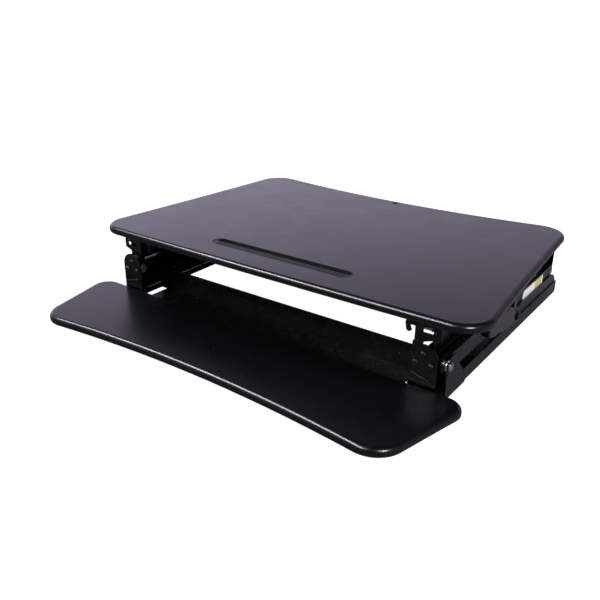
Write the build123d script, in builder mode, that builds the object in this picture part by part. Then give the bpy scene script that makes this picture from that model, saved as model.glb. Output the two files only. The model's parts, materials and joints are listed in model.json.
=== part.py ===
from build123d import *
import os

# Standing desk converter: a desktop and a keyboard tray on a pair of X-shaped lifts.
# Frame: +X to the user's right, +Y away from the user, +Z up, millimetres.
# The origin is on the surface that the converter stands on, below the middle of the desktop.
# The lift is drawn fully lowered. Everything at the sides is drawn for the right side and mirrored.

# ---------------------------------------------------------------- driving dimensions

# desktop
desk_front_half = 444.5      # half width at the front corners
desk_rear_half = 395.4       # half width at the rear corners
desk_depth = 590.0
desk_thickness = 15.0
desk_top = 150.0             # height of the lowered desktop's top face
desk_front_bow = 4.0         # the front edge bows out
desk_side_dip = 3.6          # the sides curve in
desk_rear_dip = 38.0         # the rear edge curves in towards the user
desk_front_radius = 55.0
desk_rear_radius = 57.0
desk_under = desk_top - desk_thickness

# groove that props up a tablet
groove_length = 330.0
groove_width = 34.0
groove_y = -222.0
groove_depth = 9.0

# hole at the back of the desktop
accessory_hole = 13.0
accessory_hole_y = 237.4

# keyboard tray
tray_top = 22.7
tray_thickness = 16.0
tray_front_half = 390.0
tray_rear_half = 441.0
tray_front_y = -502.0
tray_rear_y = -291.0
tray_front_dip = 28.0
tray_rear_dip = 2.0
tray_side_dip = 1.0
tray_front_radius = 53.0
tray_rear_radius = 33.0

# lift: the four pivots of one X lie at one height when it is lowered
arm_length = 512.0           # from the front pivot to the rear roller
arm_width = 32.0
arm_depth = 10.5             # depth of the pressed channel that makes an arm
pivot_y = -268.0
pivot_z = 60.0
middle_y = pivot_y + arm_length / 2
roller_y = pivot_y + arm_length
roller_radius = 10.0
roller_travel = 138.3        # how far the rollers come forward over the full rise

# rolled rims of both boards, as shares of the thickness
rim_top = 0.55
rim_low = 0.25

# sheet metal
sheet = 2.5
pin_gap = 0.06               # radial gap of a turning pin
slide_gap = 0.3              # gap of a rolling or sliding piece

# layers of one side, from the outside inwards
plate_outer_x = 385.0        # side plate of the base, with the upright ear
rail_outer_x = 382.4         # outer wall of the base rail
outer_arm_x = 379.0          # outer face of the outer arm
top_rail_x = 357.5           # outer face of the top rail's web
inner_arm_x = 354.0          # outer face of the inner arm
rail_inner_x = 330.0         # inner face of the base rail
outer_arm_in = outer_arm_x - arm_depth
inner_arm_in = inner_arm_x - 10.0

# base
foot_height = 4.0
strip_top = 30.0
wall_top = 54.0
rail_front_y = -275.0
rail_rear_y = 285.0
track_front_y = 78.0
track_rear_y = 268.0
track_low = pivot_z - roller_radius - slide_gap
track_high = pivot_z + roller_radius + slide_gap

# pins
pivot_pin = 12.0
axle = 10.0
centre_tube = 22.0

# release
handle_y = middle_y
handle_z = pivot_z
lock_y = 90.0
lock_x = 363.0
lock_pitch = 12.5
lock_holes = 12
lock_pin = 6.0
rod_z = 112.0

# gas springs
spring_x = 316.0
spring_z = 38.0
spring_front_y = -190.0
spring_rear_y = 10.0

# tray brackets
hanger_y = -282.0            # front face of the hanger, below the desktop
upright_y = -288.0           # rear face of the upright on the tray, which the foot of the hanger lies on
latch_y = -272.0
latch_z = 121.0
latch_radius = 3.8


# ---------------------------------------------------------------- helpers

os.makedirs("parts", exist_ok=True)


def save(part, name):
    """Write one sub-part."""
    part.label = name
    export_step(part, f"parts/{name}.step")


def save_pair(part, name):
    """Write the right-hand sub-part and its mirror image."""
    save(part, name + "_right")
    save(mirror(part, about=Plane.YZ), name + "_left")


def save_both(part, name):
    """Write the right-hand solids and their mirror images as one node."""
    save(Compound(children=[part, mirror(part, about=Plane.YZ)]), name)


def bar(x0, x1, y0, y1, z0, z1, mode=Mode.ADD):
    """A plain block between two corners, inside the part that is being built."""
    with Locations(((x0 + x1) / 2, (y0 + y1) / 2, (z0 + z1) / 2)):
        Box(abs(x1 - x0), abs(y1 - y0), abs(z1 - z0), mode=mode)


def rod_x(x0, x1, y, z, radius, mode=Mode.ADD):
    """A round bar along X, inside the part that is being built."""
    with Locations(Location(((x0 + x1) / 2, y, z), (0, 90, 0))):
        Cylinder(radius, abs(x1 - x0), mode=mode)


def rod_y(x, y0, y1, z, radius, mode=Mode.ADD):
    """A round bar along Y, inside the part that is being built."""
    with Locations(Location((x, (y0 + y1) / 2, z), (90, 0, 0))):
        Cylinder(radius, abs(y1 - y0), mode=mode)


def rod_z_at(x, y, z0, z1, radius, mode=Mode.ADD):
    """A round bar along Z, inside the part that is being built."""
    with Locations((x, y, (z0 + z1) / 2)):
        Cylinder(radius, abs(z1 - z0), mode=mode)


def board(front_half, rear_half, front_y, rear_y, front_dip, side_dip, rear_dip, radii, z_top, thickness):
    """A board with four curved edges, round corners and rolled rims."""
    side_half = (front_half + rear_half) / 2 - side_dip
    side_y = (front_y + rear_y) / 2
    with BuildPart() as made:
        with BuildSketch(Plane.XY.offset(z_top - thickness)) as outline:
            with BuildLine():
                ThreePointArc((-front_half, front_y), (0, front_y + front_dip), (front_half, front_y))
                ThreePointArc((front_half, front_y), (side_half, side_y), (rear_half, rear_y))
                ThreePointArc((rear_half, rear_y), (0, rear_y - rear_dip), (-rear_half, rear_y))
                ThreePointArc((-rear_half, rear_y), (-side_half, side_y), (-front_half, front_y))
            make_face()
            fillet(outline.vertices().group_by(Axis.Y)[0], radii[0])
            fillet(outline.vertices().group_by(Axis.Y)[-1], radii[1])
        extrude(amount=thickness)
        fillet(made.faces().sort_by(Axis.Z)[-1].edges(), thickness * rim_top)
        fillet(made.faces().sort_by(Axis.Z)[0].edges(), thickness * rim_low)
    return made.part


# ---------------------------------------------------------------- desktop

desk_board = board(
    desk_front_half, desk_rear_half, -desk_depth / 2, desk_depth / 2,
    -desk_front_bow, desk_side_dip, desk_rear_dip,
    (desk_front_radius, desk_rear_radius), desk_top, desk_thickness,
)

rail_screw_ys = (-230.0, -120.0, 0.0, 120.0, 220.0)
rail_screw_x = 342.0
screw_radius = 2.0
screw_bite = 9.0

with BuildPart() as desktop:
    add(desk_board)
    with BuildSketch(Plane.XY.offset(desk_top)):
        with Locations((0, groove_y)):
            SlotOverall(groove_length, groove_width)
    extrude(amount=-groove_depth, mode=Mode.SUBTRACT)
    rod_z_at(0, accessory_hole_y, desk_under - 1, desk_top + 1, accessory_hole / 2, Mode.SUBTRACT)
    for side in (-1, 1):
        for y in rail_screw_ys:
            rod_z_at(side * rail_screw_x, y, desk_under - 1, desk_under + screw_bite, screw_radius,
                     Mode.SUBTRACT)
save(desktop.part, "desktop")

# lining of the groove: a ribbed ledge in front, flush with the desktop, and a deep channel behind it
liner_gap = 0.2
liner_floor = 1.5
ledge_drop = 0.7
channel_length = 318.0
channel_width = 14.5
channel_y = groove_y + 8.6
rib_count = 32
rib_pitch = 9.5
rib_width = 3.0
rib_height = 0.5
rib_front_y = groove_y - groove_width / 2 + 2.5
rib_rear_y = channel_y - channel_width / 2 - 0.6
with BuildPart() as slot_liner:
    with BuildSketch(Plane.XY.offset(desk_top - groove_depth)):
        with Locations((0, groove_y)):
            SlotOverall(groove_length - 2 * liner_gap, groove_width - 2 * liner_gap)
    extrude(amount=groove_depth - ledge_drop)
    with BuildSketch(Plane.XY.offset(desk_top - groove_depth + liner_floor)):
        with Locations((0, channel_y)):
            SlotOverall(channel_length, channel_width)
    extrude(amount=groove_depth, mode=Mode.SUBTRACT)
    for step in range(rib_count):
        rib_x = (step - (rib_count - 1) / 2) * rib_pitch
        bar(rib_x - rib_width / 2, rib_x + rib_width / 2, rib_front_y, rib_rear_y,
            desk_top - ledge_drop, desk_top - ledge_drop + rib_height)
save(slot_liner.part, "slot_liner")

# ---------------------------------------------------------------- top rails and cross bars

hanger_radius = 22.0
web_low = 82.0
rail_top_y = 272.0
rail_start_y = -279.0
rail_end_x = 375.0           # outer edge of the plate that closes the rail's rear end
lip_low = 83.5
lip_out = 367.5
web_in = top_rail_x - sheet
flange_in = 330.0

with BuildPart() as top_rail:
    with BuildSketch(Plane.YZ.offset(web_in)):
        with BuildLine():
            Polyline(
                (rail_start_y, desk_under - sheet), (rail_top_y, desk_under - sheet),
                (rail_top_y, track_low - sheet), (track_front_y, track_low - sheet),
                (track_front_y, web_low), (pivot_y + hanger_radius, web_low),
                (pivot_y + hanger_radius, pivot_z),
            )
            RadiusArc((pivot_y + hanger_radius, pivot_z), (pivot_y, pivot_z - hanger_radius), hanger_radius)
            Polyline((pivot_y, pivot_z - hanger_radius), (rail_start_y, pivot_z - hanger_radius + 5),
                     (rail_start_y, desk_under - sheet))
        make_face()
    extrude(amount=sheet)
    # flange screwed to the desktop, and the lip that stiffens the front
    bar(flange_in, top_rail_x, -258, rail_top_y, desk_under - sheet, desk_under)
    bar(web_in, lip_out, rail_start_y, track_front_y - 8, lip_low, lip_low + sheet)
    # track for the upper roller
    for z in (track_low - sheet, track_high):
        bar(web_in, lip_out, track_front_y, rail_top_y, z, z + sheet)
    bar(web_in, lip_out, track_rear_y, rail_top_y, track_low, track_high)
    bar(web_in, rail_end_x, rail_top_y - sheet, rail_top_y, track_low - sheet, desk_under)
    # holes
    rod_x(web_in - 1, top_rail_x + 1, pivot_y, pivot_z, pivot_pin / 2 + 0.02, Mode.SUBTRACT)
    rod_x(web_in - 1, top_rail_x + 1, latch_y, latch_z, latch_radius + slide_gap, Mode.SUBTRACT)
    rod_z_at(lock_x, lock_y, track_high - 1, track_high + sheet + 1, lock_pin / 2 + slide_gap, Mode.SUBTRACT)
    for y in rail_screw_ys:
        rod_z_at(rail_screw_x, y, desk_under - sheet - 1, desk_under + 1, screw_radius, Mode.SUBTRACT)
save_pair(top_rail.part, "top_rail")

bar_height = 24.0
bar_depth = 40.0
cross_bars = (("cross_bar_front", -200.0), ("cross_bar_rear", 190.0))
for name, y in cross_bars:
    with BuildPart() as cross_bar:
        bar(-web_in, web_in, y - bar_depth / 2, y + bar_depth / 2,
            desk_under - sheet - bar_height, desk_under - sheet)
        bar(-web_in, web_in, y - bar_depth / 2 + sheet, y + bar_depth / 2 - sheet,
            desk_under - bar_height, desk_under - sheet, Mode.SUBTRACT)
    save(cross_bar.part, name)

with BuildPart() as desktop_screws:
    for y in rail_screw_ys:
        rod_z_at(rail_screw_x, y, desk_under - sheet - 2, desk_under - sheet, 4.5)
        rod_z_at(rail_screw_x, y, desk_under - sheet, desk_under + screw_bite, screw_radius)
save_both(desktop_screws.part, "desktop_screws")

# ---------------------------------------------------------------- arms


def arm(x_out, depth, lobe, holes):
    """A pressed channel, open towards the inside, with a boss at each pivot."""
    x_in = x_out - depth
    with BuildPart() as made:
        with BuildSketch(Plane.YZ.offset(x_in)):
            with Locations((middle_y, pivot_z)):
                SlotCenterToCenter(arm_length, arm_width)
                Circle(lobe)
        extrude(amount=depth)
        with BuildSketch(Plane.YZ.offset(x_in)):
            with Locations((middle_y, pivot_z)):
                SlotCenterToCenter(arm_length, arm_width - 2 * sheet)
                Circle(lobe - sheet)
        extrude(amount=depth - sheet, mode=Mode.SUBTRACT)
        for y, radius in holes:
            rod_x(x_in, x_out, y, pivot_z, radius + 3.0)
        for y, radius in holes:
            rod_x(x_in - 1, x_out + 1, y, pivot_z, radius, Mode.SUBTRACT)
    return made.part


outer_arm = arm(outer_arm_x, arm_depth, 18.0, (
    (pivot_y, pivot_pin / 2 + pin_gap),
    (middle_y, 5.0),
    (roller_y, axle / 2),
))
save_pair(outer_arm, "outer_arm")

bush_radius = centre_tube / 2 + 2.5
inner_arm = arm(inner_arm_x, 10.0, 20.0, (
    (pivot_y, pivot_pin / 2 + pin_gap),
    (middle_y, bush_radius),
    (roller_y, axle / 2),
))
save_pair(inner_arm, "inner_arm")

# the tube at the crossing joins the outer arms and is the shaft that the inner arms turn on
with BuildPart() as crossing_tube:
    rod_x(-outer_arm_in, outer_arm_in, middle_y, pivot_z, centre_tube / 2)
    rod_x(-outer_arm_in, outer_arm_in, middle_y, pivot_z, centre_tube / 2 - 4.0, Mode.SUBTRACT)
    for side in (-1, 1):
        rod_x(side * outer_arm_in, side * (outer_arm_in - 16), middle_y, pivot_z, centre_tube / 2)
        rod_x(side * (outer_arm_in + 1), side * (outer_arm_in - 14), middle_y, pivot_z, 5.0, Mode.SUBTRACT)
save(crossing_tube.part, "crossing_tube")

with BuildPart() as crossing_bolts:
    rod_x(outer_arm_in - 14, outer_arm_x, middle_y, pivot_z, 5.0)
    rod_x(outer_arm_x, outer_arm_x + 2, middle_y, pivot_z, 9.0)
save_both(crossing_bolts.part, "crossing_bolts")

with BuildPart() as crossing_bushes:
    rod_x(inner_arm_in, inner_arm_x, middle_y, pivot_z, bush_radius)
    rod_x(inner_arm_in - 1, inner_arm_x + 1, middle_y, pivot_z, centre_tube / 2 + pin_gap, Mode.SUBTRACT)
save_both(crossing_bushes.part, "crossing_bushes")

inner_tube_y = middle_y - 98.0
inner_tube_z = pivot_z + 3.0
inner_tube_radius = 10.0
with BuildPart() as inner_tube:
    rod_x(-inner_arm_x + sheet, inner_arm_x - sheet, inner_tube_y, inner_tube_z, inner_tube_radius)
    rod_x(-inner_arm_x, inner_arm_x, inner_tube_y, inner_tube_z, inner_tube_radius - 2.0, Mode.SUBTRACT)
save(inner_tube.part, "inner_arm_tube")

# plain sticker on the right outer arm
label_front_y = 80.0
label_rear_y = 196.0
label_thickness = 0.3
with BuildPart() as caution_label:
    bar(outer_arm_x, outer_arm_x + label_thickness, label_front_y, label_rear_y, pivot_z - 13, pivot_z + 12)
save(caution_label.part, "caution_label")

# ---------------------------------------------------------------- pivots, axles and rollers

with BuildPart() as lower_pivot_bolts:
    rod_x(362, plate_outer_x, pivot_y, pivot_z, pivot_pin / 2)
    rod_x(plate_outer_x, plate_outer_x + 2.2, pivot_y, pivot_z, 8.5)
    fillet(lower_pivot_bolts.faces().sort_by(Axis.X)[-1].edges(), 1.2)
    with BuildSketch(Plane.YZ.offset(plate_outer_x + 2.2)):
        with Locations((pivot_y, pivot_z)):
            RegularPolygon(3.2, 6)
    extrude(amount=-1.6, mode=Mode.SUBTRACT)
save_both(lower_pivot_bolts.part, "lower_pivot_bolts")

with BuildPart() as lower_pivot_nuts:
    with BuildSketch(Plane.YZ.offset(361.5)):
        with Locations((pivot_y, pivot_z)):
            RegularPolygon(10.0, 6)
            Circle(pivot_pin / 2, mode=Mode.SUBTRACT)
    extrude(amount=6.5)
    rod_x(outer_arm_x + 0.2, plate_outer_x - sheet, pivot_y, pivot_z, 11.0)
    rod_x(outer_arm_x, plate_outer_x, pivot_y, pivot_z, pivot_pin / 2, Mode.SUBTRACT)
save_both(lower_pivot_nuts.part, "lower_pivot_nuts")

with BuildPart() as upper_pivot_bolts:
    rod_x(336, top_rail_x, pivot_y, pivot_z, pivot_pin / 2)
    rod_x(top_rail_x, top_rail_x + 2.2, pivot_y, pivot_z, 8.5)
    with BuildSketch(Plane.YZ.offset(336.5)):
        with Locations((pivot_y, pivot_z)):
            RegularPolygon(10.0, 6)
    extrude(amount=7.0)
save_both(upper_pivot_bolts.part, "upper_pivot_bolts")

upper_roller_x0 = 362.5
upper_roller_x1 = 367.0
bar_in = 358.5
with BuildPart() as upper_axles:
    rod_x(bar_in - 0.2, outer_arm_x, roller_y, pivot_z, axle / 2)
    rod_x(outer_arm_x, outer_arm_x + 2, roller_y, pivot_z, 5.8)
save_both(upper_axles.part, "upper_axles")

lower_roller_x0 = 334.0
lower_roller_x1 = 342.0
link_x0 = 322.0
link_x1 = 325.0
with BuildPart() as lower_axles:
    rod_x(link_x0 - 1, inner_arm_x, roller_y, pivot_z, axle / 2)
save_both(lower_axles.part, "lower_axles")

for name, x0, x1 in (("upper_roller", upper_roller_x0, upper_roller_x1),
                     ("lower_roller", lower_roller_x0, lower_roller_x1)):
    with BuildPart() as roller:
        rod_x(x0, x1, roller_y, pivot_z, roller_radius)
        chamfer(roller.edges().filter_by(GeomType.CIRCLE), 0.8)
        rod_x(x0 - 1, x1 + 1, roller_y, pivot_z, axle / 2 + pin_gap, Mode.SUBTRACT)
    save_pair(roller.part, name)

# ---------------------------------------------------------------- base

ear_top = 77.0
ear_front_y = -278.0
ear_step_y = -198.0

with BuildPart() as side_plate:
    with BuildSketch(Plane.YZ.offset(plate_outer_x - sheet)):
        with BuildLine():
            Polyline(
                (ear_front_y, 0.5), (ear_step_y, 0.5), (ear_step_y, foot_height),
                (rail_rear_y, foot_height), (rail_rear_y, strip_top),
                (-211, strip_top), (-234, 55), (-240, ear_top), (ear_front_y, ear_top), close=True,
            )
        make_face()
    extrude(amount=sheet)
    top_corners = side_plate.edges().filter_by(Axis.X).group_by(Axis.Z)[-1]
    fillet(top_corners, 12.0)
    rod_x(plate_outer_x - sheet - 1, plate_outer_x + 1, pivot_y, pivot_z, pivot_pin / 2 + 0.02,
          Mode.SUBTRACT)
save_pair(side_plate.part, "side_plate")

wall = 2.4
floor_z = foot_height + sheet
wall_step_y = 20.0
inner_wall_low = 17.0
inner_wall_high = track_high + sheet
wall_corner = 38.0

with BuildPart() as base_rail:
    # floor
    bar(rail_inner_x, rail_outer_x, rail_front_y, rail_rear_y, foot_height, floor_z)
    # outer wall, low in front and high behind, with a large round rear corner
    with BuildSketch(Plane.YZ.offset(rail_outer_x - wall)):
        with BuildLine():
            Polyline(
                (rail_front_y, foot_height), (rail_rear_y, foot_height),
                (rail_rear_y, wall_top - wall_corner),
            )
            RadiusArc((rail_rear_y, wall_top - wall_corner), (rail_rear_y - wall_corner, wall_top),
                      -wall_corner)
            Polyline(
                (rail_rear_y - wall_corner, wall_top), (wall_step_y + 14, wall_top),
                (wall_step_y, strip_top - 3), (rail_front_y, strip_top - 3), (rail_front_y, foot_height),
            )
        make_face()
    extrude(amount=wall)
    # inner wall, high where it carries the roller track
    with BuildSketch(Plane.YZ.offset(rail_inner_x)):
        with BuildLine():
            Polyline(
                (rail_front_y, foot_height), (rail_rear_y, foot_height), (rail_rear_y, 50),
                (track_rear_y + 4, inner_wall_high), (track_front_y, inner_wall_high),
                (track_front_y - 30, inner_wall_low), (rail_front_y, inner_wall_low), close=True,
            )
        make_face()
        with Locations(((roller_y + roller_y - roller_travel) / 2, pivot_z)):
            SlotCenterToCenter(roller_travel + 10, axle + 4, mode=Mode.SUBTRACT)
    extrude(amount=sheet)
    for z in (track_low - sheet, track_high):
        bar(rail_inner_x, rail_inner_x + 13, track_front_y, track_rear_y, z, z + sheet)
    # end plates
    bar(rail_inner_x, rail_outer_x, rail_rear_y - sheet, rail_rear_y, foot_height, 20)
    with BuildSketch(Plane.XZ.offset(-rail_front_y - sheet)):
        Polygon((rail_inner_x, foot_height), (rail_outer_x, foot_height), (rail_outer_x, 27),
                (rail_inner_x + 6, 40), (rail_inner_x, 40), align=None)
    extrude(amount=sheet)
save_pair(base_rail.part, "base_rail")

plate_y = -223.0
plate_low = foot_height + 1.0
plate_top = 55.0
plate_foot_half = 309.0
plate_foot_front_y = -284.0
with BuildPart() as front_cross_plate:
    bar(-rail_inner_x, rail_inner_x, plate_y - sheet, plate_y, plate_low, plate_top)
    bar(-plate_foot_half, plate_foot_half, plate_foot_front_y, plate_y, plate_low, plate_low + sheet)
save(front_cross_plate.part, "front_cross_plate")

rear_tube_y = 268.0
rear_tube_z = 19.0
rear_tube_radius = 12.5
with BuildPart() as rear_cross_tube:
    rod_x(-rail_inner_x, rail_inner_x, rear_tube_y, rear_tube_z, rear_tube_radius)
    rod_x(-rail_inner_x, rail_inner_x, rear_tube_y, rear_tube_z, rear_tube_radius - 2.0, Mode.SUBTRACT)
save(rear_cross_tube.part, "rear_cross_tube")

foot_x = 356.0
foot_ys = (-180.0, 0.0, 262.0)
foot_radius = 14.0
with BuildPart() as foot_pads:
    for y in foot_ys:
        rod_z_at(foot_x, y, 0, foot_height, foot_radius)
    chamfer(foot_pads.edges().filter_by(GeomType.CIRCLE).group_by(Axis.Z)[0], 1.0)
save_both(foot_pads.part, "foot_pads")

# ---------------------------------------------------------------- gas springs

cylinder_radius = 9.0
rod_radius = 4.0
gland = 12.0
bore_radius = cylinder_radius - 1.6
spring_axis = Axis((spring_x, 0, spring_z), (0, 1, 0))
with BuildPart() as gas_cylinder:
    with BuildSketch(Plane.XY.offset(spring_z)):
        with Locations((spring_x, 0)):
            Polygon(
                (0, spring_front_y - 8), (4.2, spring_front_y - 8), (4.2, spring_front_y),
                (cylinder_radius - 1.5, spring_front_y), (cylinder_radius, spring_front_y + 1.5),
                (cylinder_radius, spring_rear_y - 1.5), (cylinder_radius - 1.5, spring_rear_y),
                (rod_radius + 0.08, spring_rear_y), (rod_radius + 0.08, spring_rear_y - gland),
                (bore_radius, spring_rear_y - gland), (bore_radius, spring_front_y + 6),
                (0, spring_front_y + 6), align=None,
            )
    revolve(axis=spring_axis)
    rod_x(spring_x - 5, spring_x + 5, spring_front_y - 14, spring_z, 8.0)
    rod_x(spring_x - 6, spring_x + 6, spring_front_y - 14, spring_z, 4.0, Mode.SUBTRACT)
save_pair(gas_cylinder.part, "gas_cylinder")

with BuildPart() as spring_anchors:
    for x in (spring_x - 9, spring_x + 6):
        bar(x, x + 3, plate_y, spring_front_y - 14, spring_z - 10, spring_z + 10)
        rod_x(x, x + 3, spring_front_y - 14, spring_z, 10.0)
    bar(spring_x - 9, spring_x + 9, plate_y, plate_y + 2, spring_z - 10, spring_z + 10)
    rod_x(spring_x - 9, spring_x + 9, spring_front_y - 14, spring_z, 4.0)
save_both(spring_anchors.part, "spring_anchors")

# the rod hangs on the rear axle by a short link
with BuildPart() as spring_rod:
    with BuildSketch(Plane.YZ.offset(link_x0)):
        with Locations((roller_y, (pivot_z + spring_z) / 2)):
            SlotCenterToCenter(pivot_z - spring_z, 16, rotation=90)
    extrude(amount=link_x1 - link_x0)
    rod_y(spring_x, spring_rear_y - 30, roller_y - 6, spring_z, rod_radius)
    rod_x(spring_x - 5, link_x0, roller_y, spring_z, 8.0)
    rod_x(link_x0 - 2, link_x1 + 2, roller_y, pivot_z, axle / 2 + pin_gap, Mode.SUBTRACT)
save_pair(spring_rod.part, "spring_rod")

# ---------------------------------------------------------------- height lock and release

bar_out = 367.0
bar_top = pivot_z + 2.0
bar_front_y = lock_y - 8.0
bar_rear_y = roller_y - roller_radius - 1.0
with BuildPart() as lock_bar:
    bar(bar_in, bar_out, bar_front_y, bar_rear_y, track_low + 0.5, bar_top)
    bar(bar_in, bar_in + 3, bar_rear_y - 6, roller_y, pivot_z - 9, bar_top)
    bar(bar_in, bar_in + 3, bar_rear_y - 0.8, roller_y, bar_top, pivot_z + 9)
    rod_x(bar_in, bar_in + 3, roller_y, pivot_z, 9.0)
    rod_x(bar_in - 1, bar_in + 4, roller_y, pivot_z, axle / 2 + pin_gap, Mode.SUBTRACT)
    for step in range(lock_holes):
        rod_z_at(lock_x, lock_y + step * lock_pitch, track_low, bar_top + 8, lock_pin / 2 + slide_gap,
                 Mode.SUBTRACT)
save_pair(lock_bar.part, "lock_bar")

block_low = 78.0
block_high = 100.0
with BuildPart() as lock_block:
    bar(top_rail_x, 371, lock_y - 9, lock_y + 9, block_low, block_high)
    bar(top_rail_x, lip_out, lock_y - 7, lock_y + 7, track_high + sheet, block_low)
    rod_z_at(lock_x, lock_y, track_high, block_high + 1, lock_pin / 2 + 0.08, Mode.SUBTRACT)
save_pair(lock_block.part, "lock_block")

ramp_top = rod_z + 3.0
head_low = ramp_top + 1.0
head_radius = 5.2
pin_low = bar_top + 0.5
with BuildPart() as lock_pin_part:
    rod_z_at(lock_x, lock_y, pin_low, head_low, lock_pin / 2)
    rod_z_at(lock_x, lock_y, head_low, head_low + 2.5, head_radius)
save_pair(lock_pin_part.part, "lock_pin")

# the rod slides back, and its ramp lifts the head of the lock pin
rod_x_at = 394.0
ramp_rise = 9.2
ramp_foot_y = lock_y - head_radius
rod_start_y = -4.2
with BuildPart() as release_rod:
    rod_y(rod_x_at, rod_start_y, ramp_foot_y - 4, rod_z, 3.0)
    bar(lock_x - 5.2, rod_x_at + 3, ramp_foot_y - 14, ramp_foot_y + 1, rod_z - 3, ramp_top)
    for x0 in (lock_x - 5.2, lock_x + 3.6):
        bar(x0, x0 + 1.6, ramp_foot_y, lock_y + 3, rod_z - 3, ramp_top)
    with BuildSketch(Plane.YZ.offset(lock_x - 5.2)):
        Polygon((ramp_foot_y, ramp_top), (ramp_foot_y - ramp_rise - 1, ramp_top + ramp_rise + 1),
                (ramp_foot_y - 14, ramp_top + ramp_rise + 1), (ramp_foot_y - 14, ramp_top), align=None)
    extrude(amount=10.4)
    bar(lock_x - 3.6, lock_x + 3.6, lock_y - 3.6 - ramp_rise - 0.4, lock_y + 4, rod_z - 4, ramp_top + 20,
        Mode.SUBTRACT)
save_pair(release_rod.part, "release_rod")

bracket_x = 388.0
with BuildPart() as handle_bracket:
    with BuildSketch(Plane.YZ.offset(bracket_x)) as bracket_profile:
        with BuildLine():
            Polyline((-44, desk_under - sheet), (26, desk_under - sheet), (26, 104),
                     (handle_y + 13, handle_z))
            RadiusArc((handle_y + 13, handle_z), (handle_y - 13, handle_z), 13)
            Polyline((handle_y - 13, handle_z), (-44, 104), (-44, desk_under - sheet))
        make_face()
    extrude(amount=sheet)
    bar(362, bracket_x + sheet, -44, 26, desk_under - sheet, desk_under)
    rod_x(bracket_x - 1, bracket_x + sheet + 1, handle_y, handle_z, 4.0, Mode.SUBTRACT)
    # guide for the release rod
    bar(bracket_x + sheet, rod_x_at + 6, 16, 24, rod_z - 6, rod_z + 6)
    rod_y(rod_x_at, 15, 25, rod_z, 3.0 + slide_gap, Mode.SUBTRACT)
save_pair(handle_bracket.part, "handle_bracket")

with BuildPart() as handle_pins:
    rod_x(bracket_x, 403.2, handle_y, handle_z, 4.0)
    rod_x(403.2, 405.4, handle_y, handle_z, 7.0)
    fillet(handle_pins.faces().sort_by(Axis.X)[-1].edges(), 1.0)
save_both(handle_pins.part, "handle_pins")

handle_in = 391.5
handle_out = 403.0
paddle_out = 408.0
tip_y = -172.0
with BuildPart() as handle:
    with BuildSketch(Plane.YZ.offset(handle_in + 2)):
        with BuildLine():
            lower_edge = Spline(
                (handle_y, handle_z - 11), (-74, 60), (-133, 68), (tip_y, 86),
                tangents=((-1, 0), (-0.35, 1)),
            )
            upper_edge = Spline(
                (tip_y, 86), (-150, 103), (-95, 104), (-45, 88), (handle_y, handle_z + 11),
                tangents=((0.1, 1), (1, -0.25)),
            )
            Line(upper_edge @ 1, lower_edge @ 0)
        make_face()
    extrude(amount=handle_out - handle_in - 3)
    rod_x(handle_in, handle_out, handle_y, handle_z, 11.0)
    # finger grip, fuller than the arm
    with BuildSketch(Plane.YZ.offset(handle_in + 2)):
        with BuildLine():
            grip_low = Spline(
                (-52, 66), (-90, 62.5), (-133, 69), (tip_y + 2, 86),
                tangents=((-1, -0.4), (-0.35, 1)),
            )
            grip_high = Spline(
                (tip_y + 2, 86), (-150, 101), (-95, 102), (-52, 88),
                tangents=((0.1, 1), (1, -0.7)),
            )
            Line(grip_high @ 1, grip_low @ 0)
        make_face()
    extrude(amount=paddle_out - handle_in - 2)
    fillet(handle.faces().sort_by(Axis.X)[-1].edges(), 3.0)
    # tab that pushes the release rod
    bar(handle_in, handle_in + 4, -20, -5, handle_z, rod_z + 6)
    rod_x(handle_in - 1, paddle_out + 1, handle_y, handle_z, 4.0 + pin_gap, Mode.SUBTRACT)
save_pair(handle.part, "handle")

# ---------------------------------------------------------------- keyboard tray and its brackets

tray_board = board(
    tray_front_half, tray_rear_half, tray_front_y, tray_rear_y,
    tray_front_dip, tray_side_dip, tray_rear_dip,
    (tray_front_radius, tray_rear_radius), tray_top, tray_thickness,
)

tray_under = tray_top - tray_thickness
foot_low = tray_under - sheet
foot_front_y = -335.0
foot_screw_y = -322.0
foot_screws = [(x, foot_screw_y) for x in (329.0, 346.5, 364.0)]
with BuildPart() as keyboard_tray:
    add(tray_board)
    for side in (-1, 1):
        for x, y in foot_screws:
            rod_z_at(side * x, y, tray_under - 1, tray_under + screw_bite, screw_radius, Mode.SUBTRACT)
save(keyboard_tray.part, "keyboard_tray")

upright_x0 = 321.0
upright_x1 = 372.0
upright_top = 98.0
upright_round = 25.0
bracket_bolts = ((346.0, 80.0), (361.0, 62.0), (333.0, 62.0))
bolt_radius = 3.0
rib_z = 37.5
rib_tilt = 15.5
rib_radius = 3.0
rib_length = 42.0
with BuildPart() as tray_upright:
    with BuildSketch(Plane.XZ.offset(-upright_y)) as upright_profile:
        Polygon((upright_x0, foot_low), (upright_x1, foot_low), (upright_x1, upright_top),
                (upright_x0, upright_top), align=None)
        fillet(upright_profile.vertices().group_by(Axis.Y)[-1], upright_round)
    extrude(amount=sheet)
    bar(upright_x0, upright_x1, foot_front_y, upright_y, foot_low, tray_under)
    # pressed rib across the foot of the plate, lower at its outer end
    rib_middle = ((upright_x0 + upright_x1) / 2, upright_y - sheet, rib_z)
    with Locations(Location(rib_middle, (0, 90 + rib_tilt, 0))):
        Cylinder(rib_radius, rib_length)
    bar(upright_x0, upright_x1, upright_y, upright_y + rib_radius, rib_z - 10, rib_z + 10, Mode.SUBTRACT)
    for x, z in bracket_bolts:
        rod_y(x, upright_y - sheet - 1, upright_y + 1, z, bolt_radius, Mode.SUBTRACT)
    for x, y in foot_screws:
        rod_z_at(x, y, foot_low - 1, tray_under + 1, screw_radius, Mode.SUBTRACT)
save_pair(tray_upright.part, "tray_upright")

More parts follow.
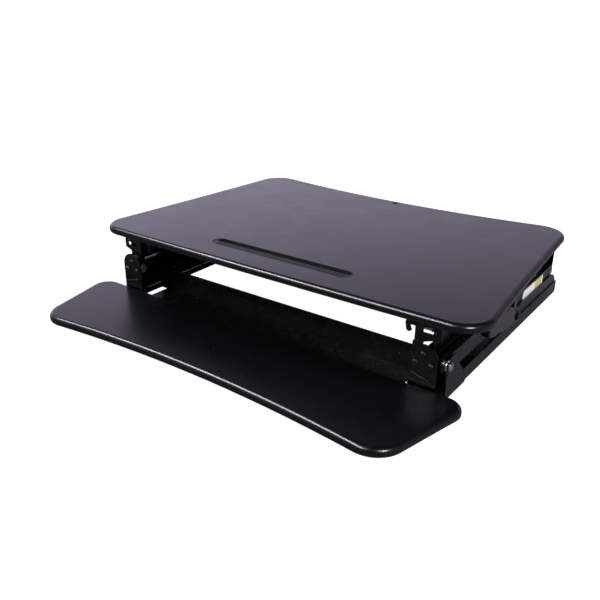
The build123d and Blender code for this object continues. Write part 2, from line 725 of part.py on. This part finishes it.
with BuildPart() as tray_screws:
    for x, y in foot_screws:
        rod_z_at(x, y, foot_low, tray_under + screw_bite, screw_radius)
        rod_z_at(x, y, foot_low - 2, foot_low, 4.5)
save_both(tray_screws.part, "tray_screws")

# the hanger steps forward, from under the desktop's edge to the back of the upright
hanger_x0 = 324.0
hanger_x1 = 371.0
hanger_waist = 340.0
hanger_step_z = 98.0
hanger_low = 48.0
hanger_foot_x1 = 369.0
hanger_flange_rear_y = -260.0
window = (338.0, 363.0, 114.5, 127.0)
ear_x = 328.0                # ear that guides the latch
ear_rear_y = -265.0
ear_low = 114.0
with BuildPart() as tray_hanger:
    with BuildSketch(Plane.XZ.offset(-hanger_y)):
        Polygon((hanger_x0, desk_under), (hanger_x0, hanger_step_z - sheet),
                (hanger_waist, hanger_step_z - sheet), (hanger_waist, hanger_step_z),
                (hanger_x1, 109), (hanger_x1, desk_under), align=None)
    extrude(amount=-sheet)
    bar(window[0], window[1], hanger_y - 1, hanger_y + sheet + 1, window[2], window[3], Mode.SUBTRACT)
    bar(hanger_x0, hanger_x1, hanger_y, hanger_flange_rear_y, desk_under - sheet, desk_under)
    bar(hanger_x0, hanger_waist, upright_y, hanger_y + sheet, hanger_step_z - sheet, hanger_step_z)
    with BuildSketch(Plane.XZ.offset(-upright_y)):
        Polygon((hanger_x0, hanger_step_z), (hanger_x0, hanger_low), (hanger_foot_x1, hanger_low),
                (hanger_foot_x1, 78), (hanger_waist, hanger_step_z), align=None)
    extrude(amount=-sheet)
    bar(ear_x, ear_x + sheet, hanger_y + sheet, ear_rear_y, ear_low, desk_under - sheet)
    rod_x(ear_x - 1, ear_x + sheet + 1, latch_y, latch_z, latch_radius + 0.08, Mode.SUBTRACT)
    for x, z in bracket_bolts:
        rod_y(x, upright_y - 1, upright_y + sheet + 1, z, bolt_radius, Mode.SUBTRACT)
save_pair(tray_hanger.part, "tray_hanger")

with BuildPart() as tray_bolts:
    for x, z in bracket_bolts:
        rod_y(x, upright_y - sheet, upright_y + sheet + 1, z, bolt_radius)
        rod_y(x, upright_y - sheet - 3.6, upright_y - sheet, z, 5.6)
    fillet(tray_bolts.edges().filter_by(GeomType.CIRCLE).group_by(Axis.Y)[0], 2.6)
    for x, z in bracket_bolts:
        rod_y(x, upright_y + sheet, upright_y + sheet + 4, z, 5.6)
save_both(tray_bolts.part, "tray_bolts")

# spring latch with a finger hook, which slides in the hanger's ear and in a hole of the top rail
hook_depth = 5.0
rod_end_x = 314.0
with BuildPart() as tray_latch:
    rod_x(rod_end_x, 367.5, latch_y, latch_z, latch_radius)
    with BuildSketch(Plane.XZ.offset(-latch_y - hook_depth / 2)):
        with BuildLine():
            Polyline((rod_end_x, 126), (306, 126))
            RadiusArc((306, 126), (302, 120), -6)
            Polyline((302, 120), (304, 109))
            RadiusArc((304, 109), (313, 107), -5)
            Polyline((313, 107), (311, 111), (309, 118), (rod_end_x, 118), (rod_end_x, 126))
        make_face()
    extrude(amount=hook_depth)
save_pair(tray_latch.part, "tray_latch")
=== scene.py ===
import json
import math

import bmesh
import bpy
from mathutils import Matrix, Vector


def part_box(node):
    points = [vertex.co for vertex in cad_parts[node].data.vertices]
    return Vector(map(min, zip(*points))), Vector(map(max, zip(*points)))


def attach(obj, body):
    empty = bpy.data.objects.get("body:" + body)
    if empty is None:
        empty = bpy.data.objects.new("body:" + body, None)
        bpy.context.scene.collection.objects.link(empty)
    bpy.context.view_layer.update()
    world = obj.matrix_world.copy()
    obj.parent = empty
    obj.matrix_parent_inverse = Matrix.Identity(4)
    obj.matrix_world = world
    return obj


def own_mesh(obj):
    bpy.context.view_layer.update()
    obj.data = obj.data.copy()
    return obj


# Looks of the standing desk converter. Metres, in the frame of the CAD model:
# +X to the user's right, +Y away from the user, +Z up, standing surface at z = 0.

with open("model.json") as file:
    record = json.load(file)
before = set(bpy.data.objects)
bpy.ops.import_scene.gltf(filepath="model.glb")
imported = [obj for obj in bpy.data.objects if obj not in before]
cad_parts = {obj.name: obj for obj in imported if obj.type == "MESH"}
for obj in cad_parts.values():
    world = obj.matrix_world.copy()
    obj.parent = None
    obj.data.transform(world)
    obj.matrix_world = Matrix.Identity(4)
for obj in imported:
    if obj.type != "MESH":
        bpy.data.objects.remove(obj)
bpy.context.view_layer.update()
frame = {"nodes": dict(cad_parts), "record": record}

MM = 0.001

# ---------------------------------------------------------------- driving values

# camera: to the front right of the object, looking down on it
CAMERA_PLACE = (0.7618, -1.2160, 0.6163)
CAMERA_AZIMUTH = 37.15       # degrees to the left of straight ahead
CAMERA_DOWN = 23.99          # degrees below level
CAMERA_LENS = 41.75
CAMERA_SHIFT = 0.0298
CAMERA_NEAR = 0.02
CAMERA_FAR = 100.0
SENSOR_WIDTH = 36.0

# floor: the one that the camera sees glows white, the one that the object mirrors is grey
FLOOR_SIZE = 240.0
FLOOR_GLOW = 1.0
TABLE_DROP = 0.001           # how far the mirrored floor lies below the seen one
PAPER_TONES = ((0.29, 0.275, 0.30), (0.31, 0.295, 0.32))

# sky: a bright band low behind the object and to its left, and a dark ceiling
SKY_TINT = (1.0, 0.925, 1.20)
BAND_GLOW = 1.50
CEILING_SHARE = 0.04         # how bright the sky is overhead, against the band
RIGHT_SHARE = 0.08           # to the right, against the left
FRONT_SHARE = 0.22           # in front of the object, against behind it
SKY_FADES = (                # axis, factor where the fade starts and ends, and those two heights on the axis
    ("Z", BAND_GLOW, BAND_GLOW * CEILING_SHARE, 0.24, 0.60),
    ("X", 1.0, RIGHT_SHARE, -0.9, 0.42),
    ("Y", FRONT_SHARE, 1.0, -0.3, 0.3),
)

# lamps: place, point aimed at, size, watts, and whether shiny surfaces mirror it
# (a mirrored one lights no matt surface, and one that isn't mirrored lights only those)
LAMPS = {
    "box_front": ((-1.15, -1.60, 2.10), (0.0, -0.2, 0.1), (2.8, 0.3), 140.0, True),
    "box_corner": ((1.9, -1.3, 1.3), (0.42, -0.27, 0.14), (0.5, 0.3), 42.0, True),
    "box_above": ((-0.2, 0.1, 2.4), (0.0, 0.0, 0.1), (1.6, 1.0), 15.0, False),
    "box_right": ((2.2, 0.3, 0.8), (0.3, 0.0, 0.05), (1.2, 1.0), 45.0, False),
}

# places shared with the CAD model; x is half of the distance between the two sides
REAR_TUBE = (0.3296, 0.268, 0.019)
REAR_TUBE_WELD = 12.6 * MM   # radius of the weld round the tube
CROSSING_TUBE = (0.3682, -0.012, 0.060)
CROSSING_TUBE_WELD = 11.4 * MM
ARM_TUBE = (0.3436, -0.110, 0.063)
ARM_TUBE_WELD = 10.2 * MM
CROSS_PLATE_X = 0.3298
CROSS_PLATE_Y = -0.2228
CROSS_PLATE_WELD_Z = (0.008, 0.0165)
CROSS_BAR_X = 0.3548
CROSS_BAR_Y = {"front": -0.200, "rear": 0.190}
CROSS_BAR_EDGES = {"a": -0.020, "b": 0.020}      # y from the middle of the bar
CROSS_BAR_WELD_Z = (0.111, 0.131)
LOCK_PIN = (0.363, 0.090)    # x and y
LOCK_SPRING_Z = (0.1186, 0.1324)
LATCH_PLACE = (-0.272, 0.121)                    # y and z
LATCH_SPRING_X = (0.3306, 0.3500)
LATCH_CLIP_X = 0.3502

# springs, washers and weld beads
LOCK_COIL = (4.2 * MM, 0.42 * MM, 5)       # radius of the coil, radius of the wire, turns
LATCH_COIL = (4.9 * MM, 0.5 * MM, 7)
CLIP_RADII = (3.9 * MM, 6.2 * MM)          # hole and rim
CLIP_THICKNESS = 1.0 * MM
CLIP_BEVEL = 0.3 * MM
RING_BEAD = 1.6 * MM
THIN_RING_BEAD = 1.1 * MM
SEAM_BEAD = 1.7 * MM
RING_STEPS = 72
RING_RIPPLES = 24
RING_RIPPLE_DEPTH = 0.14     # as a share of the bead's radius
SEAM_STEP = 0.7 * MM
SEAM_RIPPLE_DEPTH = 0.13
SEAM_RIPPLE_TURN = 2.2       # radians of ripple per step, which is one ripple every 2 mm
SEAM_END = 0.25              # the bead's radius at its ends, as a share of the full one
SEAM_TAPER = 6               # how quickly it grows to the full one
COIL_STEPS = 20              # per turn
WASHER_STEPS = 40

# width of the broken edges in millimetres, by finish
EDGE_BREAKS = {"powder_coat": 0.35, "dark_steel": 0.25, "bright_steel": 0.2, "black_plastic": 0.3}
EDGE_ANGLE = 40              # degrees; only edges sharper than this are broken

# sticker: where the yellow field and the grey bars lie, as shares of its length and height
YELLOW_FIELD = (0.58, 0.95)
GREY_BARS = (0.07, 0.46)
BAR_HEIGHTS = (0.30, 0.45, 0.60)
BAR_WIDTH = 1.0 * MM

SIDES = {"right": 1, "left": -1}

# ---------------------------------------------------------------- material helpers


def new_material(name, metallic=0.0, ior=1.5, tint=(1.0, 1.0, 1.0), coat=0.0, coat_roughness=0.1):
    """A material whose shader has the values that are the same all over the surface."""
    material = bpy.data.materials.new(name)
    material.use_nodes = True
    shader = material.node_tree.nodes["Principled BSDF"]
    shader.inputs["Metallic"].default_value = metallic
    shader.inputs["IOR"].default_value = ior
    shader.inputs["Specular Tint"].default_value = (*tint, 1.0)
    shader.inputs["Coat Weight"].default_value = coat
    shader.inputs["Coat Roughness"].default_value = coat_roughness
    return material


def node(material, kind, **values):
    """Add one node and set its properties and input values by name."""
    made = material.node_tree.nodes.new(kind)
    for key, value in values.items():
        if hasattr(made, key):
            setattr(made, key, value)
        else:
            made.inputs[key.replace("_", " ")].default_value = value
    return made


def link(material, source, target):
    material.node_tree.links.new(source, target)


def place(material, stretch=(1.0, 1.0, 1.0)):
    """Coordinates in metres, stretched along the axes where a pattern has a direction."""
    coordinates = node(material, "ShaderNodeTexCoord")
    mapping = node(material, "ShaderNodeMapping", Scale=stretch)
    link(material, coordinates.outputs["Object"], mapping.inputs["Vector"])
    return mapping.outputs["Vector"]


def noise(material, per_metre, detail=3.0, roughness=0.5, stretch=(1.0, 1.0, 1.0)):
    """Soft noise with that many features per metre, from 0 to 1."""
    texture = node(material, "ShaderNodeTexNoise", Scale=per_metre, Detail=detail, Roughness=roughness)
    link(material, place(material, stretch), texture.inputs["Vector"])
    return texture.outputs["Fac"]


def cells(material, per_metre):
    """Pebbled cells, as in a pressed leather grain, from 0 in the middle of a cell."""
    texture = node(material, "ShaderNodeTexVoronoi", Scale=per_metre)
    link(material, place(material), texture.inputs["Vector"])
    return texture.outputs["Distance"]


def ranged(material, source, low, high, start=0.3, end=0.7):
    """The source stretched to run from low to high."""
    span = node(material, "ShaderNodeMapRange")
    for key, value in (("From Min", start), ("From Max", end), ("To Min", low), ("To Max", high)):
        span.inputs[key].default_value = value
    link(material, source, span.inputs["Value"])
    return span.outputs["Result"]


def blended(material, share, first, second):
    """A colour between two, by the share, which is a socket. Each colour is a tuple or a socket."""
    mix = node(material, "ShaderNodeMix", data_type="RGBA")
    link(material, share, mix.inputs["Factor"])
    for key, colour in (("A", first), ("B", second)):
        socket = [s for s in mix.inputs if s.name == key and s.type == "RGBA"][0]
        if isinstance(colour, tuple):
            socket.default_value = (*colour, 1.0)
        else:
            link(material, colour, socket)
    return [s for s in mix.outputs if s.type == "RGBA"][0]


def dress(material, colour=None, roughness=None, bumps=()):
    """Plug colour, roughness and a chain of (height, depth in metres) into the shader."""
    shader = material.node_tree.nodes["Principled BSDF"]
    if colour is not None:
        link(material, colour, shader.inputs["Base Color"])
    if roughness is not None:
        link(material, roughness, shader.inputs["Roughness"])
    normal = None
    for height, depth in bumps:
        bump = node(material, "ShaderNodeBump", Strength=1.0, Distance=depth)
        link(material, height, bump.inputs["Height"])
        if normal is not None:
            link(material, normal, bump.inputs["Normal"])
        normal = bump.outputs["Normal"]
    if normal is not None:
        link(material, normal, shader.inputs["Normal"])
    return material


# ---------------------------------------------------------------- materials


def board_film():
    """Black film on the boards: satin, with a fine pressed grain."""
    material = new_material("board_film", ior=1.5, tint=(0.93, 0.89, 1.0))
    tone = ranged(material, noise(material, 6.0, 4.0), 0.0, 1.0)
    fleck = ranged(material, noise(material, 2600.0, 2.0), 0.0, 1.0, 0.45, 0.75)
    base = blended(material, tone, (0.0030, 0.0026, 0.0036), (0.0042, 0.0037, 0.0050))
    colour = blended(material, fleck, base, (0.010, 0.009, 0.012))
    roughness = ranged(material, noise(material, 14.0, 5.0, 0.6), 0.26, 0.31)
    return dress(material, colour, roughness, (
        (cells(material, 1700.0), 0.012 * MM),
        (noise(material, 900.0, 3.0), 0.010 * MM),
    ))


def powder_coat():
    """Black powder coat on the steel: satin, with the fine orange peel of baked powder."""
    material = new_material("powder_coat", ior=1.48)
    tone = ranged(material, noise(material, 25.0, 4.0), 0.0, 1.0)
    fleck = ranged(material, noise(material, 3000.0, 1.0), 0.0, 1.0, 0.55, 0.75)
    base = blended(material, tone, (0.0022, 0.0021, 0.0024), (0.0038, 0.0036, 0.0042))
    colour = blended(material, fleck, base, (0.010, 0.0095, 0.011))
    roughness = ranged(material, noise(material, 40.0, 4.0), 0.21, 0.30)
    return dress(material, colour, roughness, (
        (noise(material, 700.0, 2.0), 0.03 * MM),
        (noise(material, 2400.0, 2.0), 0.008 * MM),
    ))


def handle_plastic():
    """Polished black plastic of the squeeze handles."""
    material = new_material("handle_plastic", ior=1.5, coat=0.25, coat_roughness=0.12)
    tone = ranged(material, noise(material, 60.0, 3.0), 0.0, 1.0)
    colour = blended(material, tone, (0.0015, 0.0015, 0.0018), (0.003, 0.003, 0.0034))
    roughness = ranged(material, noise(material, 120.0, 5.0, 0.7), 0.16, 0.27)
    return dress(material, colour, roughness, ((noise(material, 160.0, 2.0), 0.02 * MM),))


def liner_plastic():
    """Spark-textured black plastic of the groove's lining."""
    material = new_material("liner_plastic", ior=1.48)
    tone = ranged(material, noise(material, 1800.0, 2.0), 0.0, 1.0)
    colour = blended(material, tone, (0.0025, 0.0025, 0.003), (0.0055, 0.0052, 0.0060))
    roughness = ranged(material, noise(material, 80.0, 4.0), 0.45, 0.58)
    return dress(material, colour, roughness, ((noise(material, 2200.0, 3.0), 0.02 * MM),))


def nylon():
    """Grey-black nylon of the rollers and bushes, with faint turning marks."""
    material = new_material("nylon", ior=1.53)
    tone = ranged(material, noise(material, 300.0, 4.0), 0.0, 1.0)
    colour = blended(material, tone, (0.045, 0.045, 0.046), (0.075, 0.074, 0.073))
    roughness = ranged(material, noise(material, 500.0, 3.0), 0.38, 0.5)
    return dress(material, colour, roughness, (
        (noise(material, 900.0, 2.0, stretch=(3.0, 1.0, 1.0)), 0.02 * MM),
    ))


def rubber():
    """Matt black rubber of the foot pads, a little dusty."""
    material = new_material("rubber", ior=1.45)
    dust = ranged(material, noise(material, 220.0, 6.0, 0.7), 0.0, 1.0, 0.5, 0.75)
    colour = blended(material, dust, (0.012, 0.012, 0.012), (0.035, 0.034, 0.032))
    roughness = ranged(material, noise(material, 600.0, 3.0), 0.68, 0.85)
    return dress(material, colour, roughness, ((noise(material, 1500.0, 4.0), 0.05 * MM),))


def bright_steel():
    """Zinc-plated steel of bolts, pins and axles, with turning marks."""
    material = new_material("bright_steel", metallic=1.0)
    tone = ranged(material, noise(material, 260.0, 4.0), 0.0, 1.0)
    colour = blended(material, tone, (0.52, 0.53, 0.56), (0.66, 0.65, 0.63))
    roughness = ranged(material, noise(material, 800.0, 4.0, stretch=(1.0, 4.0, 4.0)), 0.2, 0.36)
    return dress(material, colour, roughness, (
        (noise(material, 1500.0, 3.0, stretch=(4.0, 1.0, 1.0)), 0.008 * MM),
    ))


def dark_steel():
    """Black oxide on screws, lock bars and latches, rubbed lighter here and there."""
    material = new_material("dark_steel", metallic=1.0)
    rubbed = ranged(material, noise(material, 350.0, 6.0, 0.65), 0.0, 1.0, 0.55, 0.72)
    colour = blended(material, rubbed, (0.035, 0.035, 0.038), (0.11, 0.108, 0.105))
    roughness = ranged(material, noise(material, 200.0, 4.0), 0.34, 0.5)
    return dress(material, colour, roughness, (
        (noise(material, 1800.0, 3.0), 0.012 * MM),
    ))


def spring_paint():
    """Smooth black paint on the gas cylinders."""
    material = new_material("spring_paint", ior=1.5, coat=0.4, coat_roughness=0.18)
    tone = ranged(material, noise(material, 40.0, 3.0), 0.0, 1.0)
    colour = blended(material, tone, (0.012, 0.012, 0.013), (0.02, 0.02, 0.021))
    roughness = ranged(material, noise(material, 300.0, 3.0), 0.3, 0.42)
    return dress(material, colour, roughness, ((noise(material, 500.0, 2.0), 0.015 * MM),))


def weld_metal():
    """Painted-over weld beads."""
    material = new_material("weld_metal", ior=1.48)
    tone = ranged(material, noise(material, 400.0, 4.0), 0.0, 1.0)
    colour = blended(material, tone, (0.0025, 0.0025, 0.0028), (0.005, 0.0048, 0.0052))
    roughness = ranged(material, noise(material, 250.0, 3.0), 0.36, 0.55)
    return dress(material, colour, roughness, ((noise(material, 1100.0, 3.0), 0.06 * MM),))


def between(material, axis_socket, low, high):
    """1 where the coordinate lies between low and high, else 0."""
    above = node(material, "ShaderNodeMath", operation="GREATER_THAN")
    above.inputs[1].default_value = low
    below = node(material, "ShaderNodeMath", operation="LESS_THAN")
    below.inputs[1].default_value = high
    both = node(material, "ShaderNodeMath", operation="MULTIPLY")
    link(material, axis_socket, above.inputs[0])
    link(material, axis_socket, below.inputs[0])
    link(material, above.outputs[0], both.inputs[0])
    link(material, below.outputs[0], both.inputs[1])
    return both.outputs[0]


def sticker_film():
    """White film with a yellow field and plain grey bars. It carries no lettering."""
    material = new_material("sticker_film", ior=1.5, coat=0.3, coat_roughness=0.2)
    low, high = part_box("caution_label")
    axes = node(material, "ShaderNodeSeparateXYZ")
    link(material, place(material), axes.inputs["Vector"])
    along, up = axes.outputs["Y"], axes.outputs["Z"]

    def along_at(share):
        return low.y + share * (high.y - low.y)

    fibre = ranged(material, noise(material, 900.0, 3.0), 0.0, 1.0)
    colour = blended(material, fibre, (0.78, 0.77, 0.775), (0.84, 0.83, 0.835))
    yellow = between(material, along, *map(along_at, YELLOW_FIELD))
    colour = blended(material, yellow, colour, (0.60, 0.47, 0.22))
    for share in BAR_HEIGHTS:
        height = low.z + (high.z - low.z) * share
        bar = node(material, "ShaderNodeMath", operation="MULTIPLY")
        link(material, between(material, up, height, height + BAR_WIDTH), bar.inputs[0])
        link(material, between(material, along, *map(along_at, GREY_BARS)), bar.inputs[1])
        colour = blended(material, bar.outputs[0], colour, (0.45, 0.45, 0.46))
    roughness = ranged(material, noise(material, 300.0, 3.0), 0.32, 0.42)
    return dress(material, colour, roughness, ((noise(material, 350.0, 3.0), 0.03 * MM),))


FINISHES = {
    "board": board_film(),
    "powder_coat": powder_coat(),
    "black_plastic": handle_plastic(),
    "nylon": nylon(),
    "rubber": rubber(),
    "bright_steel": bright_steel(),
    "dark_steel": dark_steel(),
    "spring_body": spring_paint(),
    "label": sticker_film(),
}
WELD = weld_metal()
LINER = liner_plastic()

slot_of = {part["node"]: part["material_slot"] for part in frame["record"]["subparts"]}
for name, cad in frame["nodes"].items():
    finish = LINER if name == "slot_liner" else FINISHES[slot_of[name]]
    cad.data.materials.clear()
    cad.data.materials.append(finish)

# ---------------------------------------------------------------- broken edges on the CAD pieces

for name, cad in frame["nodes"].items():
    width = EDGE_BREAKS.get(slot_of[name])
    if width is None:
        continue
    bevel = cad.modifiers.new("edge_break", "BEVEL")
    bevel.width = width * MM
    bevel.segments = 2
    bevel.limit_method = "ANGLE"
    bevel.angle_limit = math.radians(EDGE_ANGLE)
    bevel.harden_normals = False

# ---------------------------------------------------------------- small pieces


def tube(name, points, radii, material, closed=False, sides=10):
    """A round tube along a line of points, with its own radius at each one."""
    mesh = bpy.data.meshes.new(name)
    made = bpy.data.objects.new(name, mesh)
    bpy.context.collection.objects.link(made)
    build = bmesh.new()
    count = len(points)
    rings = []
    side = None
    for index, (point, radius) in enumerate(zip(points, radii)):
        before = points[index - 1] if index or closed else points[0]
        after = points[(index + 1) % count] if index + 1 < count or closed else points[-1]
        forward = (after - before).normalized()
        if side is None:
            side = forward.orthogonal().normalized()
        side = (side - forward * side.dot(forward)).normalized()
        other = forward.cross(side)
        ring = []
        for step in range(sides):
            angle = 2 * math.pi * step / sides
            outward = math.cos(angle) * side + math.sin(angle) * other
            ring.append(build.verts.new(point + radius * outward))
        rings.append(ring)
    for index in range(count if closed else count - 1):
        ring, following = rings[index], rings[(index + 1) % count]
        for step in range(sides):
            build.faces.new((ring[step], ring[(step + 1) % sides],
                             following[(step + 1) % sides], following[step]))
    if not closed:
        build.faces.new(reversed(rings[0]))
        build.faces.new(rings[-1])
    bmesh.ops.recalc_face_normals(build, faces=build.faces)
    build.to_mesh(mesh)
    build.free()
    for face in mesh.polygons:
        face.use_smooth = True
    mesh.materials.append(material)
    return made


def weld_ring(name, centre, radius, body, bead=RING_BEAD):
    """A weld bead round a tube that runs along X."""
    points, radii = [], []
    for step in range(RING_STEPS):
        angle = 2 * math.pi * step / RING_STEPS
        points.append(Vector(centre) + Vector((0, radius * math.cos(angle), radius * math.sin(angle))))
        radii.append(bead * (1 + RING_RIPPLE_DEPTH * math.sin(angle * RING_RIPPLES)))
    made = tube(name, points, radii, WELD, closed=True, sides=8)
    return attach(made, body)


def weld_seam(name, start, end, body, bead=SEAM_BEAD):
    """A straight weld bead with ripples every 2 mm."""
    start, end = Vector(start), Vector(end)
    steps = max(8, int((end - start).length / SEAM_STEP))
    points, radii = [], []
    for step in range(steps + 1):
        share = step / steps
        points.append(start.lerp(end, share))
        taper = min(1.0, SEAM_TAPER * share + SEAM_END, SEAM_TAPER * (1 - share) + SEAM_END)
        radii.append(bead * taper * (1 + SEAM_RIPPLE_DEPTH * math.sin(step * SEAM_RIPPLE_TURN)))
    made = tube(name, points, radii, WELD, sides=8)
    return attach(made, body)


def coil(name, start, end, radius, wire, turns, body):
    """A compression spring: a wire wound round the line from start to end."""
    start, end = Vector(start), Vector(end)
    axis = (end - start).normalized()
    side = axis.orthogonal().normalized()
    other = axis.cross(side)
    length = (end - start).length - 2 * wire
    steps = turns * COIL_STEPS
    points = []
    for step in range(steps + 1):
        share = step / steps
        rise = wire + length * share
        angle = 2 * math.pi * turns * share
        points.append(start + axis * rise + radius * (math.cos(angle) * side + math.sin(angle) * other))
    made = tube(name, points, [wire] * len(points), FINISHES["bright_steel"], sides=8)
    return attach(made, body)


def washer(name, centre, inner, outer, thickness, body):
    """A flat washer across the X axis, with bevelled edges."""
    profile = [(inner, 0.0), (outer - CLIP_BEVEL, 0.0), (outer, CLIP_BEVEL),
               (outer, thickness - CLIP_BEVEL), (outer - CLIP_BEVEL, thickness), (inner, thickness)]
    mesh = bpy.data.meshes.new(name)
    made = bpy.data.objects.new(name, mesh)
    bpy.context.collection.objects.link(made)
    build = bmesh.new()
    rings = []
    for step in range(WASHER_STEPS):
        angle = 2 * math.pi * step / WASHER_STEPS
        direction = Vector((0, math.cos(angle), math.sin(angle)))
        rings.append([build.verts.new(Vector(centre) + direction * radius + Vector((along, 0, 0)))
                      for radius, along in profile])
    for step in range(WASHER_STEPS):
        ring, following = rings[step], rings[(step + 1) % WASHER_STEPS]
        for index in range(len(profile)):
            after = (index + 1) % len(profile)
            build.faces.new((ring[index], ring[after], following[after], following[index]))
    bmesh.ops.recalc_face_normals(build, faces=build.faces)
    build.to_mesh(mesh)
    build.free()
    mesh.materials.append(FINISHES["bright_steel"])
    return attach(made, body)


def on_side(sign, place_at):
    """A place on the right side, or its mirror image on the left."""
    x, y, z = place_at
    return sign * x, y, z


def cross_member_welds(side, sign):
    weld_ring(f"weld_rear_tube_{side}", on_side(sign, REAR_TUBE), REAR_TUBE_WELD, "base")
    weld_ring(f"weld_crossing_tube_{side}", on_side(sign, CROSSING_TUBE), CROSSING_TUBE_WELD,
              "outer_arms", THIN_RING_BEAD)
    weld_ring(f"weld_arm_tube_{side}", on_side(sign, ARM_TUBE), ARM_TUBE_WELD, "inner_arms")
    low, high = (on_side(sign, (CROSS_PLATE_X, CROSS_PLATE_Y, z)) for z in CROSS_PLATE_WELD_Z)
    weld_seam(f"weld_cross_plate_{side}", low, high, "base")
    for bar, y in CROSS_BAR_Y.items():
        for letter, edge in CROSS_BAR_EDGES.items():
            low, high = (on_side(sign, (CROSS_BAR_X, y + edge, z)) for z in CROSS_BAR_WELD_Z)
            weld_seam(f"weld_cross_bar_{bar}_{side}_{letter}", low, high, "top")


def lock_spring(side, sign):
    """The spring above a lock pin. The pin squashes it from below."""
    low, high = (on_side(sign, (*LOCK_PIN, z)) for z in LOCK_SPRING_Z)
    made = coil(f"lock_spring_{side}", low, high, *LOCK_COIL, "top")
    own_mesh(made)


def latch_spring(side, sign):
    """The spring round a tray latch. The clip on the latch squashes it inwards."""
    inner, outer = (on_side(sign, (x, *LATCH_PLACE)) for x in LATCH_SPRING_X)
    made = coil(f"latch_spring_{side}", inner, outer, *LATCH_COIL, "top")
    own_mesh(made)
    clip_x = LATCH_CLIP_X if sign > 0 else -LATCH_CLIP_X - CLIP_THICKNESS
    washer(f"latch_clip_{side}", (clip_x, *LATCH_PLACE), *CLIP_RADII, CLIP_THICKNESS, f"latch_{side}")


for side, sign in SIDES.items():
    cross_member_welds(side, sign)
    lock_spring(side, sign)
    latch_spring(side, sign)

# ---------------------------------------------------------------- floor, light and camera


def stage_floor(name, height, glow):
    """A plain floor of matt paper, with a glow of its own."""
    bpy.ops.mesh.primitive_plane_add(size=FLOOR_SIZE, location=(0, 0, height))
    floor = bpy.context.object
    floor.name = name
    paper = new_material(name + "_paper", ior=1.3)
    shader = paper.node_tree.nodes["Principled BSDF"]
    tone = ranged(paper, noise(paper, 3.0, 2.0), 0.0, 1.0)
    dress(paper, blended(paper, tone, *PAPER_TONES))
    shader.inputs["Roughness"].default_value = 0.9
    shader.inputs["Emission Color"].default_value = (1.0, 1.0, 1.0, 1.0)
    shader.inputs["Emission Strength"].default_value = glow
    floor.data.materials.append(paper)
    return floor


def sky():
    """A sky whose glow falls off upwards, to the right and towards the front."""
    world = bpy.data.worlds.new("studio_sky")
    bpy.context.scene.world = world
    world.use_nodes = True
    background = world.node_tree.nodes["Background"]
    background.inputs["Color"].default_value = (*SKY_TINT, 1.0)
    coordinates = node(world, "ShaderNodeTexCoord")
    axes = node(world, "ShaderNodeSeparateXYZ")
    link(world, coordinates.outputs["Generated"], axes.inputs["Vector"])
    strength = None
    for axis, low, high, start, end in SKY_FADES:
        share = ranged(world, axes.outputs[axis], low, high, start, end)
        if strength is not None:
            product = node(world, "ShaderNodeMath", operation="MULTIPLY")
            link(world, strength, product.inputs[0])
            link(world, share, product.inputs[1])
            share = product.outputs[0]
        strength = share
    link(world, strength, background.inputs["Strength"])


def soft_box(name, place_at, aim, size, power, mirrored):
    """A rectangular lamp: one that only shows in shiny surfaces, or one that only lights matt ones."""
    light = bpy.data.lights.new(name, "AREA")
    light.shape = "RECTANGLE"
    light.size, light.size_y = size
    light.energy = power
    made = bpy.data.objects.new(name, light)
    bpy.context.collection.objects.link(made)
    made.location = place_at
    made.rotation_mode = "QUATERNION"
    made.rotation_quaternion = (Vector(aim) - Vector(place_at)).to_track_quat("-Z", "Y")
    made.visible_glossy = mirrored
    made.visible_diffuse = not mirrored


# the camera sees the white floor, and the object mirrors the grey one just below it
seen = stage_floor("studio_floor", 0.0, FLOOR_GLOW)
seen.visible_glossy = False
seen.visible_diffuse = False
seen.visible_shadow = False
stage_floor("studio_table", -TABLE_DROP, 0.0)
sky()
for name, (place_at, aim, size, power, mirrored) in LAMPS.items():
    soft_box(name, place_at, aim, size, power, mirrored)

camera = bpy.data.objects.new("camera", bpy.data.cameras.new("camera"))
bpy.context.collection.objects.link(camera)
azimuth, down = math.radians(CAMERA_AZIMUTH), math.radians(CAMERA_DOWN)
level = Vector((-math.sin(azimuth), math.cos(azimuth), 0.0))
looking = level * math.cos(down) - Vector((0.0, 0.0, math.sin(down)))
camera.location = CAMERA_PLACE
camera.rotation_mode = "QUATERNION"
camera.rotation_quaternion = looking.to_track_quat("-Z", "Y")
camera.data.sensor_width = SENSOR_WIDTH
camera.data.lens = CAMERA_LENS
camera.data.shift_x = CAMERA_SHIFT
camera.data.clip_start = CAMERA_NEAR
camera.data.clip_end = CAMERA_FAR
bpy.context.scene.camera = camera
bpy.context.scene.view_settings.view_transform = "Standard"
